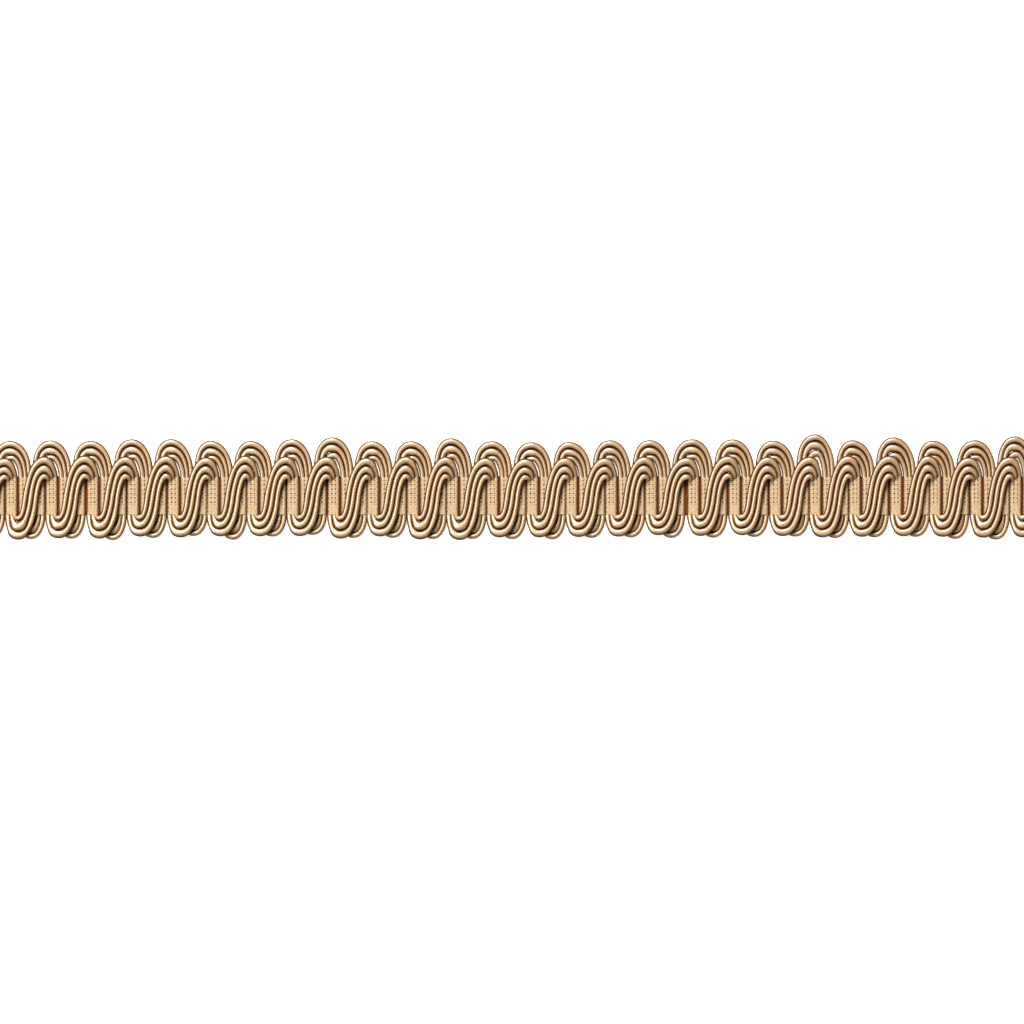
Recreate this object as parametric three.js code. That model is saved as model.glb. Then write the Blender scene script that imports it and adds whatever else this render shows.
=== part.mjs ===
// Scroll gimp braid trim, a cut length lying face up.
//
// Two bands of three wrapped gimp cords loop from edge to edge of a narrow woven ground.
// Each band runs under the ground's cover threads in upright columns. The front band comes
// out at the lower edge, turns, floats over the face as a leaning S and arches back into the
// next column. The back band turns below and arches above in the plane of the ground.
//
// X runs along the braid, +Y is the side of the tall back arches, Z is out of the face.
// Z = 0 is the flat underside of the ground. Sizes are in millimetres.

import * as THREE from "three";

// One repeat of the pattern along the braid, and where repeat 0 has its back arch.
const PERIOD = 6.027;
const FIRST_APEX_X = -75.3;

// The woven ground. Each column of three cords runs in a slot that is wider at its floor, under
// a cover, and the ground is thin in the valleys between columns. A reach is measured outward
// from the middle of a column's outer cords.
const GROUND_LOWER_Y = -2.9;
const GROUND_UPPER_Y = 2.95;
const FRONT_COLUMN_UPPER_Y = 2.2;
const SLOT_FLOOR_Z = 0.1;
const SLOT_CEILING_Z = 0.86;
const SLOT_FLOOR_REACH = 0.38;
const SLOT_CEILING_REACH = 0.08;
const COVER_Z = 0.98;
const COVER_REACH = 0.06;
const VALLEY_Z = 0.5;
const GROUND_END_MARGIN = 0.5;

// How a cord is squeezed along its way: its width in plan, its height and its middle level.
const SQUEEZE = {
  column: { width: 0.4, height: 0.72, level: 0.48, held: true },
  backLoop: { width: 0.9, height: 0.86, level: 0.48 },
  frontLeg: { width: 0.61, height: 0.8, level: 1.47 },
  frontArch: { width: 0.92, height: 0.86, level: 1.42 },
};

// Angles of travel in plan, in degrees from +X.
const RIGHT = 0;
const UP = 90;
const DOWN = -90;
const LEG_LEAN = 78.7;

// The front band. Places are measured from the apex of the repeat's back arch.
// turnLevel is the middle level at the lower turn, where the cord climbs onto the face.
const FRONT_CORDS = {
  a: {
    columnX: 0.69, columnTop: 2.7, turnX: 1.245, turnY: -3.27, turnLevel: 1.36, turnWidth: 0.74,
    legX: 2.355, archX: 5.205, archY: 5.16, archWidth: 0.98,
    turnSteps: 1, climbSteps: 2, riseSteps: 3, diveSteps: 3,
    turnFull: 0.6, climbFull: [0.66, 0.6], riseFull: [0.64, 1.0], diveFull: [0.72, 0.6],
    riseShare: 1.0, dropShare: 0.3,
  },
  b: {
    columnX: 0.21, columnTop: 2.55, turnX: 1.29, turnY: -4.44, turnLevel: 1.24, turnWidth: 0.86,
    legX: 3.075, archX: 5.235, archY: 3.99, archWidth: 0.94,
    turnSteps: 2, climbSteps: 2, riseSteps: 2, diveSteps: 2,
    turnFull: 0.6, climbFull: [0.64, 0.6], riseFull: [0.6, 0.9], diveFull: [0.72, 0.6],
    riseShare: 0.7, dropShare: 0.6,
  },
  c: {
    columnX: -0.24, columnTop: 2.33, turnX: 1.35, turnY: -5.625, turnLevel: 1.16, turnWidth: 0.92,
    legX: 3.81, archX: 5.31, archY: 2.895, archWidth: 0.84,
    turnSteps: 3, climbSteps: 2, riseSteps: 2, diveSteps: 2,
    turnFull: 0.6, climbFull: [0.62, 0.6], riseFull: [0.6, 0.8], diveFull: [0.7, 0.6],
    riseShare: 0.4, dropShare: 1.0,
  },
};

// The back band. downX is the column it goes down in, upX the one it comes up in.
const BACK_CORDS = {
  a: {
    archX: 0.12, archY: 7.68, archWidth: 1.0, bulge: 8, downX: 2.61,
    turnX: 3.225, turnY: -3.82, turnWidth: 0.78, upX: 3.705,
    archSteps: 3, turnSteps: 1, archFull: [0.62, 0.7], turnFull: [0.6, 0.6],
    riseShare: 1.0, dropShare: 0.3,
  },
  b: {
    archX: 0.18, archY: 6.54, archWidth: 0.92, bulge: 2, downX: 2.13,
    turnX: 3.225, turnY: -4.93, turnWidth: 0.9, upX: 4.245,
    archSteps: 2, turnSteps: 2, archFull: [0.67, 0.7], turnFull: [0.6, 0.62],
    riseShare: 0.65, dropShare: 0.6,
  },
  c: {
    archX: 0.39, archY: 5.37, archWidth: 0.9, bulge: 0, downX: 1.65,
    turnX: 3.195, turnY: -5.97, turnWidth: 0.92, upX: 4.785,
    archSteps: 2, turnSteps: 2, archFull: [0.6, 0.72], turnFull: [0.62, 0.74],
    riseShare: 0.3, dropShare: 1.0,
  },
};

// Where the columns of both bands end below, where the back band's end above, and the middle
// of the front band's leaning legs.
const COLUMN_BOTTOM_Y = -2.92;
const BACK_COLUMN_TOP_Y = 3.0;
const LEG_Y = 0.075;

// How each repeat of the braid differs from the plain one, from left to right.
// shift moves the whole repeat along the braid. For each band, lean moves its arch's apex along
// the braid, rise lifts the apex outward and drop pushes the lower turn outward.
const REPEATS = [
  { shift: 0, back: { lean: 0, rise: 0, drop: 0.05 }, front: { lean: 0, rise: 0, drop: 0.1 } },
  { shift: 0, back: { lean: 0.08, rise: 0, drop: 0.15 }, front: { lean: 0, rise: -0.2, drop: 0.3 } },
  { shift: 0, back: { lean: 0.05, rise: 0.1, drop: 0.1 }, front: { lean: -0.1, rise: 0.05, drop: 0.1 } },
  { shift: 0.15, back: { lean: -0.1, rise: 0, drop: 0.3 }, front: { lean: -0.25, rise: 0.15, drop: 0.15 } },
  { shift: 0.15, back: { lean: 0.1, rise: 0.25, drop: 0 }, front: { lean: -0.15, rise: 0.05, drop: -0.15 } },
  { shift: 0.18, back: { lean: -0.1, rise: 0.25, drop: -0.3 }, front: { lean: -0.1, rise: 0.15, drop: -0.05 } },
  { shift: 0.09, back: { lean: -0.1, rise: 0, drop: 0.2 }, front: { lean: -0.1, rise: -0.1, drop: -0.15 } },
  { shift: 0, back: { lean: -0.05, rise: 0, drop: -0.2 }, front: { lean: -0.1, rise: 0.15, drop: -0.2 } },
  { shift: 0, back: { lean: 0.1, rise: 0.25, drop: -0.45 }, front: { lean: -0.05, rise: 0.05, drop: -0.15 } },
  { shift: 0.09, back: { lean: 0.1, rise: 0.55, drop: 0 }, front: { lean: -0.05, rise: 0, drop: 0.15 } },
  { shift: -0.06, back: { lean: 0.2, rise: -0.05, drop: 0 }, front: { lean: 0.05, rise: -0.15, drop: -0.15 } },
  { shift: -0.09, back: { lean: 0.05, rise: -0.05, drop: 0.15 }, front: { lean: -0.05, rise: 0.05, drop: 0.25 } },
  { shift: -0.18, back: { lean: 0.05, rise: 0.4, drop: 0.15 }, front: { lean: -0.05, rise: 0, drop: 0.35 } },
  { shift: -0.23, back: { lean: 0.25, rise: -0.05, drop: 0.15 }, front: { lean: -0.05, rise: -0.15, drop: -0.05 } },
  { shift: -0.27, back: { lean: 0.15, rise: -0.2, drop: 0.2 }, front: { lean: -0.1, rise: -0.3, drop: 0 } },
  { shift: -0.42, back: { lean: -0.15, rise: -0.15, drop: 0 }, front: { lean: -0.05, rise: -0.15, drop: -0.05 } },
  { shift: -0.51, back: { lean: 0.1, rise: 0.1, drop: -0.1 }, front: { lean: 0.05, rise: -0.15, drop: -0.1 } },
  { shift: -0.54, back: { lean: 0.1, rise: 0.1, drop: 0 }, front: { lean: -0.1, rise: 0, drop: -0.3 } },
  { shift: -0.24, back: { lean: 0.15, rise: 0.25, drop: -0.05 }, front: { lean: 0, rise: -0.1, drop: -0.2 } },
  { shift: -0.09, back: { lean: -0.05, rise: 0.25, drop: -0.15 }, front: { lean: 0, rise: 0.15, drop: -0.3 } },
  { shift: 0, back: { lean: -0.1, rise: 0.05, drop: -0.2 }, front: { lean: -0.2, rise: 0, drop: -0.2 } },
  { shift: -0.06, back: { lean: 0.35, rise: 1.0, drop: 0 }, front: { lean: 0.1, rise: 0, drop: -0.05 } },
  { shift: -0.15, back: { lean: -0.1, rise: 0.1, drop: -0.15 }, front: { lean: -0.05, rise: 0.15, drop: -0.1 } },
  { shift: 0, back: { lean: -0.1, rise: 0.55, drop: -0.2 }, front: { lean: -0.1, rise: 0.15, drop: -0.15 } },
  { shift: -0.15, back: { lean: -0.1, rise: 0.05, drop: 0.15 }, front: { lean: -0.15, rise: 0.15, drop: -0.1 } },
  { shift: -0.06, back: { lean: 0.15, rise: 0.1, drop: 0.25 }, front: { lean: -0.15, rise: -0.1, drop: 0 } },
  { shift: -0.18, back: { lean: 0.2, rise: 0.7, drop: 0 }, front: { lean: 0.05, rise: 0, drop: 0 } },
  { shift: -0.1, back: { lean: 0, rise: 0, drop: 0 }, front: { lean: 0, rise: 0, drop: 0 } },
];

// Where a repeat has the apex of its plain back arch.
function repeatX(index) {
  return FIRST_APEX_X + (index - 1) * PERIOD + REPEATS[index].shift;
}

// A place that a cord goes through, with its direction and its squeeze there.
function stop(x, y, heading, squeeze, changes = {}) {
  return { x, y, heading, ...squeeze, ...changes };
}

// The stops of one front cord, from the column of the first repeat to that of the last.
function frontStops(cord) {
  const stops = [];
  REPEATS.forEach((row, index) => {
    const x = repeatX(index);
    stops.push(stop(x + cord.columnX, cord.columnTop, DOWN, SQUEEZE.column, { steps: 0 }));
    stops.push(
      stop(x + cord.columnX, COLUMN_BOTTOM_Y, DOWN, SQUEEZE.column, {
        steps: cord.turnSteps,
        full: [cord.turnFull, cord.turnFull],
        ease: "out",
      }),
    );
    if (index === REPEATS.length - 1) {
      return;
    }
    const next = REPEATS[index + 1];
    stops.push(
      stop(x + cord.turnX, cord.turnY - row.front.drop * cord.dropShare, RIGHT, SQUEEZE.frontArch, {
        width: cord.turnWidth,
        level: cord.turnLevel,
        steps: cord.climbSteps,
        full: cord.climbFull,
        ease: "out",
        taper: "out",
      }),
    );
    stops.push(
      stop(x + cord.legX, LEG_Y, LEG_LEAN, SQUEEZE.frontLeg, {
        steps: cord.riseSteps,
        full: cord.riseFull,
        ease: "even",
      }),
    );
    stops.push(
      stop(
        repeatX(index + 1) - PERIOD + cord.archX + next.front.lean,
        cord.archY + next.front.rise * cord.riseShare,
        RIGHT,
        SQUEEZE.frontArch,
        { width: cord.archWidth, steps: cord.diveSteps, full: cord.diveFull, ease: "in", taper: "late" },
      ),
    );
  });
  return stops;
}

// The stops of one back cord, from its down column in the first repeat to its last up column.
function backStops(cord) {
  const stops = [];
  REPEATS.slice(0, -1).forEach((row, index) => {
    const x = repeatX(index);
    const [foot, apex] = cord.archFull;
    if (index > 0) {
      const apexX = x + cord.archX + row.back.lean;
      const apexY = cord.archY + row.back.rise * cord.riseShare;
      stops.push(
        stop(apexX, apexY, RIGHT, SQUEEZE.backLoop, {
          width: cord.archWidth,
          steps: cord.archSteps,
          full: [apex, foot],
          ease: "in",
          taper: "late",
        }),
      );
    }
    const down = x + cord.downX;
    const up = x + cord.upX;
    stops.push(stop(down, BACK_COLUMN_TOP_Y, DOWN - cord.bulge, SQUEEZE.column, { steps: 0 }));
    stops.push(
      stop(down, COLUMN_BOTTOM_Y, DOWN, SQUEEZE.column, {
        steps: cord.turnSteps,
        full: cord.turnFull,
        ease: "out",
      }),
    );
    stops.push(
      stop(x + cord.turnX, cord.turnY - row.back.drop * cord.dropShare, RIGHT, SQUEEZE.backLoop, {
        width: cord.turnWidth,
        steps: cord.turnSteps,
        full: [cord.turnFull[1], cord.turnFull[0]],
        ease: "in",
      }),
    );
    stops.push(stop(up, COLUMN_BOTTOM_Y, UP, SQUEEZE.column, { steps: 0 }));
    stops.push(
      stop(up, BACK_COLUMN_TOP_Y, UP + cord.bulge, SQUEEZE.column, {
        steps: cord.archSteps,
        full: [foot, apex],
        ease: "out",
        taper: "early",
      }),
    );
  });
  return stops;
}

// The sections stand outside the curve by this share of a chord's height, so that the
// straight runs between them lie about on it. The height of a chord is an eighth of its
// length times its angle.
const BOW_SHARE = 0.7;
const CHORD_HEIGHT_SHARE = 1 / 8;

// How a width or a level goes over from one stop to the next.
const EASES = {
  late: (t) => t ** 1.5,
  early: (t) => 1 - (1 - t) ** 1.5,
  in: (t) => t * t,
  out: (t) => 1 - (1 - t) * (1 - t),
  even: (t) => t,
};

// The direction of travel in plan at an angle.
function heading(degrees) {
  const angle = THREE.MathUtils.degToRad(degrees);
  return new THREE.Vector2(Math.cos(angle), Math.sin(angle));
}

// Where the lines of travel of two stops meet.
function corner(from, to) {
  const leave = heading(from.heading);
  const arrive = heading(to.heading);
  const gap = new THREE.Vector2(to.x - from.x, to.y - from.y);
  const reach = gap.cross(arrive) / leave.cross(arrive);
  return new THREE.Vector2(from.x, from.y).addScaledVector(leave, reach);
}

// How far a cord turns to the left from stop to stop, in radians.
function chordTurn(from, to) {
  return Math.asin(heading(from.heading).cross(heading(to.heading)));
}

// One bend from stop to stop, as a smooth curve in plan.
function bend(from, to) {
  const start = new THREE.Vector2(from.x, from.y);
  const end = new THREE.Vector2(to.x, to.y);
  const meet = corner(from, to);
  const [leaveFull, arriveFull] = from.full;
  return new THREE.CubicBezierCurve(
    start,
    start.clone().lerp(meet, leaveFull),
    end.clone().lerp(meet, arriveFull),
    end,
  );
}

// The cord's sections along its way: right, top, left and bottom corner of each.
function sectionsOf(stops) {
  const sections = [];
  const add = (point, along, size) => {
    const side = new THREE.Vector2(along.y, -along.x).normalize().multiplyScalar(size.width / 2);
    const half = size.height / 2;
    sections.push([
      new THREE.Vector3(point.x + side.x, point.y + side.y, size.level),
      new THREE.Vector3(point.x, point.y, size.level + half),
      new THREE.Vector3(point.x - side.x, point.y - side.y, size.level),
      new THREE.Vector3(point.x, point.y, size.level - half),
    ]);
  };
  for (let index = 0; index < stops.length - 1; index += 1) {
    const from = stops[index];
    const to = stops[index + 1];
    if (from.held) {
      add(new THREE.Vector2(from.x, from.y), heading(from.heading), from);
    }
    if (from.steps === 0) {
      continue;
    }
    const curve = bend(from, to);
    const chordHeight = (chordTurn(from, to) * curve.getLength() * CHORD_HEIGHT_SHARE) / from.steps ** 2;
    const bow = chordHeight * BOW_SHARE;
    for (let step = 0; step < from.steps; step += 1) {
      const t = (step + 0.5) / from.steps;
      const along = curve.getTangent(t);
      const point = curve.getPoint(t).add(new THREE.Vector2(along.y, -along.x).multiplyScalar(bow));
      add(point, along, {
        width: THREE.MathUtils.lerp(from.width, to.width, EASES[from.taper ?? "even"](t)),
        height: THREE.MathUtils.lerp(from.height, to.height, t),
        level: THREE.MathUtils.lerp(from.level, to.level, EASES[from.ease](t)),
      });
    }
  }
  const last = stops[stops.length - 1];
  add(new THREE.Vector2(last.x, last.y), heading(last.heading), last);
  return sections;
}

// A list of triangles that grows face by face.
class Shell {
  constructor() {
    this.positions = [];
  }

  triangle(a, b, c) {
    this.positions.push(a.x, a.y, a.z, b.x, b.y, b.z, c.x, c.y, c.z);
  }

  quad(a, b, c, d) {
    this.triangle(a, b, c);
    this.triangle(a, c, d);
  }

  geometry() {
    const geometry = new THREE.BufferGeometry();
    geometry.setAttribute("position", new THREE.Float32BufferAttribute(this.positions, 3));
    geometry.computeVertexNormals();
    return geometry;
  }
}

// A closed four-sided rod through a cord's sections.
function cordGeometry(stops) {
  const sections = sectionsOf(stops);
  const shell = new Shell();
  const [first] = sections;
  const last = sections[sections.length - 1];
  shell.quad(first[0], first[1], first[2], first[3]);
  shell.quad(last[3], last[2], last[1], last[0]);
  for (let index = 0; index < sections.length - 1; index += 1) {
    const here = sections[index];
    const there = sections[index + 1];
    for (let edge = 0; edge < 4; edge += 1) {
      const next = (edge + 1) % 4;
      shell.quad(here[edge], there[edge], there[next], here[next]);
    }
  }
  return shell.geometry();
}

// The columns of the ground from left to right: the cords each covers and where it stops above.
function groundColumns() {
  const columns = [];
  const across = (cords, key, x) => Object.values(cords).map((cord) => x + cord[key]).sort((p, q) => p - q);
  REPEATS.forEach((row, index) => {
    const x = repeatX(index);
    columns.push({ ribs: across(FRONT_CORDS, "columnX", x), top: FRONT_COLUMN_UPPER_Y });
    if (index < REPEATS.length - 1) {
      columns.push({ ribs: across(BACK_CORDS, "downX", x), top: GROUND_UPPER_Y });
      columns.push({ ribs: across(BACK_CORDS, "upX", x), top: GROUND_UPPER_Y });
    }
  });
  return columns;
}

// The ground: one roofed cell to a column, with a slot for its three cords, joined at the valleys.
function groundGeometry() {
  const shell = new Shell();
  const columns = groundColumns();
  const last = columns[columns.length - 1];
  const valleys = [columns[0].ribs[0] - GROUND_END_MARGIN];
  const valleyTops = [columns[0].top];
  columns.slice(1).forEach((column, index) => {
    valleys.push((columns[index].ribs[2] + column.ribs[0]) / 2);
    valleyTops.push((columns[index].top + column.top) / 2);
  });
  valleys.push(last.ribs[2] + GROUND_END_MARGIN);
  valleyTops.push(last.top);

  columns.forEach((column, index) => {
    const [left, , right] = column.ribs;
    // Counter-clockwise seen from -Y, with X to the right and Z up.
    const outline = [
      [valleys[index], 0],
      [valleys[index + 1], 0],
      [valleys[index + 1], VALLEY_Z],
      [right + COVER_REACH, COVER_Z],
      [left - COVER_REACH, COVER_Z],
      [valleys[index], VALLEY_Z],
    ];
    const slot = [
      [left - SLOT_FLOOR_REACH, SLOT_FLOOR_Z],
      [left - SLOT_CEILING_REACH, SLOT_CEILING_Z],
      [right + SLOT_CEILING_REACH, SLOT_CEILING_Z],
      [right + SLOT_FLOOR_REACH, SLOT_FLOOR_Z],
    ];
    const all = [...outline, ...slot];
    const upperY = ([x]) => {
      if (x === valleys[index]) {
        return valleyTops[index];
      }
      return x === valleys[index + 1] ? valleyTops[index + 1] : column.top;
    };
    const lower = all.map(([x, z]) => new THREE.Vector3(x, GROUND_LOWER_Y, z));
    const upper = all.map(([x, z]) => new THREE.Vector3(x, upperY([x]), z));
    const flat = (points) => points.map(([x, z]) => new THREE.Vector2(x, z));
    THREE.ShapeUtils.triangulateShape(flat(outline), [flat(slot)]).forEach(([a, b, c]) => {
      shell.triangle(lower[a], lower[b], lower[c]);
      shell.triangle(upper[c], upper[b], upper[a]);
    });
    const wall = (from, to) => shell.quad(lower[from], upper[from], upper[to], lower[to]);
    for (let from = 0; from < outline.length; from += 1) {
      const to = (from + 1) % outline.length;
      const rightValley = from === 1;
      const leftValley = from === outline.length - 1;
      const inside = (rightValley && index < columns.length - 1) || (leftValley && index > 0);
      if (!inside) {
        wall(from, to);
      }
    }
    for (let from = 0; from < slot.length; from += 1) {
      wall(outline.length + from, outline.length + ((from + 1) % slot.length));
    }
  });
  return shell.geometry();
}

const THREAD_ROUGHNESS = 0.6;

function piece(name, geometry, color) {
  const material = new THREE.MeshStandardMaterial({ color, roughness: THREAD_ROUGHNESS, metalness: 0 });
  const mesh = new THREE.Mesh(geometry, material);
  mesh.name = name;
  return mesh;
}

const COVER_CREAM = "#e2cfa8";
const BACK_BEIGE = "#c9a777";
const FRONT_BEIGE = "#d8bb8d";

const braid = new THREE.Group();
braid.name = "gimp_braid_trim";
braid.add(piece("ground", groundGeometry(), COVER_CREAM));
Object.entries(BACK_CORDS).forEach(([name, cord]) => {
  braid.add(piece(`back_cord_${name}`, cordGeometry(backStops(cord)), BACK_BEIGE));
});
Object.entries(FRONT_CORDS).forEach(([name, cord]) => {
  braid.add(piece(`front_cord_${name}`, cordGeometry(frontStops(cord)), FRONT_BEIGE));
});

export default braid;
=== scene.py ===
import logging
import math
from abc import ABC, abstractmethod
from dataclasses import dataclass
from enum import Enum
from typing import Any

import bpy
import numpy as np
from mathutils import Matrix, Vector


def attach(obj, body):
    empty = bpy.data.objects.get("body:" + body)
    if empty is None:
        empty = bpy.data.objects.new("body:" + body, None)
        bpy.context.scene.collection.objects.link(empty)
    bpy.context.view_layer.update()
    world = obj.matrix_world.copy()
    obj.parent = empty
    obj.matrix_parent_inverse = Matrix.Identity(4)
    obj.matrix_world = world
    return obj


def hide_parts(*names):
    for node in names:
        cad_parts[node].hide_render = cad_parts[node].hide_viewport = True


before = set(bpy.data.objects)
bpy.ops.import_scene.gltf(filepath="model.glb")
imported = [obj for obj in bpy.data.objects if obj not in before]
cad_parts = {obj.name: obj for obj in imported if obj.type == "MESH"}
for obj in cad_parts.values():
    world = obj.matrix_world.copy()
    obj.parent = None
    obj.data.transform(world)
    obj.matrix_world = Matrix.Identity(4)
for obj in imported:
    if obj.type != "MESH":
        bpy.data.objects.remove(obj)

LOG = logging.getLogger("gimp_braid_trim")

# Lengths in this script are millimetres, as a trimmings maker works, and metres only in Blender.
METRES = 0.001

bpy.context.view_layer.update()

# The photographed frame: how much braid it spans, and how far its middle lies from the
# middle of the woven ground.
FRAME_WIDTH = 153.6
FRAME_CENTRE_Y = -2.475


def linear(hex_colour: str) -> tuple[float, float, float, float]:
    """Turns an sRGB hex colour into linear light.

    Args:
        hex_colour: six hex digits after a hash sign.

    Returns:
        Linear red, green, blue and an alpha of 1.
    """
    channels = [int(hex_colour[i : i + 2], 16) / 255 for i in (1, 3, 5)]
    lit = [c / 12.92 if c <= 0.04045 else ((c + 0.055) / 1.055) ** 2.4 for c in channels]
    return lit[0], lit[1], lit[2], 1.0


def add_node(
    tree: bpy.types.NodeTree,
    kind: str,
    settings: dict[str | int, Any] | None = None,
    links: dict[str | int, bpy.types.NodeSocket] | None = None,
) -> bpy.types.Node:
    """Adds one node with its settings and what feeds it.

    Args:
        tree: the material's node tree.
        kind: the node's type name.
        settings: values by the name or number of an input, or by the name of a property.
        links: sockets that feed an input, by its name or number.

    Returns:
        The new node.
    """
    node = tree.nodes.new(kind)
    for key, value in (settings or {}).items():
        if isinstance(key, int) or key in node.inputs:
            node.inputs[key].default_value = value
        else:
            setattr(node, key, value)
    for key, source in (links or {}).items():
        tree.links.new(source, node.inputs[key])
    return node


def new_material(name: str) -> tuple[bpy.types.Material, bpy.types.NodeTree]:
    """Starts a material with an empty node tree.

    Args:
        name: the material's name.

    Returns:
        The material and its node tree.
    """
    material = bpy.data.materials.new(name)
    material.use_nodes = True
    material.node_tree.nodes.clear()
    return material, material.node_tree


def finish_material(tree: bpy.types.NodeTree, shader: bpy.types.Node) -> None:
    """Leads a shader to the material's output.

    Args:
        tree: the material's node tree.
        shader: the node whose first output is the surface.
    """
    add_node(tree, "ShaderNodeOutputMaterial", links={"Surface": shader.outputs[0]})


# The names of the two UV maps that every tube carries.
ALONG_UV = "Along"
BAKE_UV = "OFBake"

# Noise from Blender seldom leaves this range.
NOISE_LOW = 0.3
NOISE_HIGH = 0.7


def drifting_tone(
    tree: bpy.types.NodeTree,
    along: bpy.types.NodeSocket,
    length: float,
    tones: tuple[float, float],
) -> bpy.types.NodeSocket:
    """Makes a tone that drifts along a yarn.

    Args:
        tree: the material's node tree.
        along: the place along the yarn.
        length: about how far it is from one tone to the next.
        tones: the darkest and the lightest tone.

    Returns:
        A factor for the colour.
    """
    drift = add_node(
        tree,
        "ShaderNodeTexNoise",
        {"noise_dimensions": "1D", "Scale": 1 / length, "Detail": 2.0},
        {"W": along},
    )
    dark, light = tones
    tone = add_node(
        tree,
        "ShaderNodeMapRange",
        {1: NOISE_LOW, 2: NOISE_HIGH, 3: dark, 4: light},
        {0: drift.outputs[0]},
    )
    return tone.outputs[0]


@dataclass(frozen=True)
class SatinWrap:
    """Viscose yarn wound close round a cord: a silky sheen, fine turns across, painted shade at the
    flanks.
    """

    name: str = "viscose_yarn_wound_satin"
    crown: str = "#CAA67A"
    # flank is painted shade: a dark brown on both flanks of every cord, all along, for the crevices'
    # shade.
    flank: str = "#380E00"
    flank_from: float = 0.14
    flank_to: float = 0.94
    turn_pitch: float = 0.24
    turn_height: float = 0.014
    turn_tones: tuple[float, float] = (0.9, 1.04)
    # Painted shade: each turn of yarn is darker towards the grooves between the turns.
    groove_shade_tone: float = 0.78
    groove_shade_reach: float = 0.6
    drift_length: float = 2.4
    drift_tones: tuple[float, float] = (0.94, 1.04)
    filament_pitch: float = 0.05
    filament_share: float = 0.25
    roughness: float = 0.55
    fibre_index: float = 1.54
    specular: float = 0.06
    gloss_roughness: float = 0.38
    gloss_index: float = 3.0
    anisotropic: float = 0.3

    def flank_shade_mask(
        self, tree: bpy.types.NodeTree, around: bpy.types.NodeSocket
    ) -> bpy.types.NodeSocket:
        """Finds the flanks all round the cord, where painted shade stands for the crevices between
        cords.

        Args:
            tree: the material's node tree.
            around: the place round the cord, from 0 to 1.

        Returns:
            0 on the crown and on the underside, 1 on the flanks.
        """
        angle = add_node(
            tree, "ShaderNodeMath", {"operation": "MULTIPLY", 1: 2 * math.pi}, {0: around}
        )
        sideways = add_node(tree, "ShaderNodeMath", {"operation": "COSINE"}, {0: angle.outputs[0]})
        size = add_node(
            tree, "ShaderNodeMath", {"operation": "ABSOLUTE"}, {0: sideways.outputs[0]}
        )
        flank = add_node(
            tree,
            "ShaderNodeMapRange",
            {
                "interpolation_type": "SMOOTHSTEP",
                1: self.flank_from,
                2: self.flank_to,
                3: 0.0,
                4: 1.0,
            },
            {0: size.outputs[0]},
        )
        return flank.outputs[0]

    def shade(
        self,
        tree: bpy.types.NodeTree,
        along: bpy.types.NodeSocket,
        turns: bpy.types.NodeSocket,
        ridge: bpy.types.NodeSocket,
    ) -> bpy.types.NodeSocket:
        """Gives each turn of yarn a tone of its own, painted shade in its grooves, over a slow drift.

        Args:
            tree: the material's node tree.
            along: the place along the cord.
            turns: how many turns of yarn lie before a place.
            ridge: how high a place is on its turn.

        Returns:
            A factor for the colour.
        """
        number = add_node(tree, "ShaderNodeMath", {"operation": "FLOOR"}, {0: turns})
        own_tone = add_node(
            tree,
            "ShaderNodeTexWhiteNoise",
            {"noise_dimensions": "1D"},
            {"W": number.outputs[0]},
        )
        dark, light = self.turn_tones
        tone = add_node(
            tree,
            "ShaderNodeMapRange",
            {1: 0.0, 2: 1.0, 3: dark, 4: light},
            {0: own_tone.outputs[0]},
        )
        drift = drifting_tone(tree, along, self.drift_length, self.drift_tones)
        # Painted shade: darker towards the grooves between the turns.
        groove_shade = add_node(
            tree,
            "ShaderNodeMapRange",
            {1: 0.0, 2: self.groove_shade_reach, 3: self.groove_shade_tone, 4: 1.0},
            {0: ridge},
        )
        smooth = add_node(
            tree,
            "ShaderNodeMath",
            {"operation": "MULTIPLY"},
            {0: tone.outputs[0], 1: drift},
        )
        grooved = add_node(
            tree,
            "ShaderNodeMath",
            {"operation": "MULTIPLY"},
            {0: smooth.outputs[0], 1: groove_shade.outputs[0]},
        )
        return grooved.outputs[0]

    def relief(
        self,
        tree: bpy.types.NodeTree,
        turns: bpy.types.NodeSocket,
        ridge: bpy.types.NodeSocket,
    ) -> bpy.types.NodeSocket:
        """Raises the turns of yarn, and on each the filaments that lie side by side in it.

        Args:
            tree: the material's node tree.
            turns: how many turns of yarn lie before a place.
            ridge: how high a place is on its turn.

        Returns:
            The normal.
        """
        filament_place = add_node(
            tree,
            "ShaderNodeMath",
            {"operation": "MULTIPLY", 1: self.turn_pitch / self.filament_pitch},
            {0: turns},
        )
        filaments = add_node(
            tree,
            "ShaderNodeTexNoise",
            {"noise_dimensions": "1D", "Scale": 1.0, "Detail": 1.0},
            {"W": filament_place.outputs[0]},
        )
        height = add_node(
            tree,
            "ShaderNodeMath",
            {"operation": "MULTIPLY_ADD", 1: self.filament_share},
            {0: filaments.outputs[0], 2: ridge},
        )
        bump = add_node(
            tree,
            "ShaderNodeBump",
            {"Strength": 1.0, "Distance": self.turn_height * METRES},
            {"Height": height.outputs[0]},
        )
        return bump.outputs[0]

    def build(self) -> bpy.types.Material:
        """Builds the finish.

        Returns:
            The material.
        """
        material, tree = new_material(self.name)
        place = add_node(tree, "ShaderNodeUVMap", {"uv_map": ALONG_UV})
        parts = add_node(tree, "ShaderNodeSeparateXYZ", links={0: place.outputs[0]})
        along, around = parts.outputs[0], parts.outputs[1]

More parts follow.
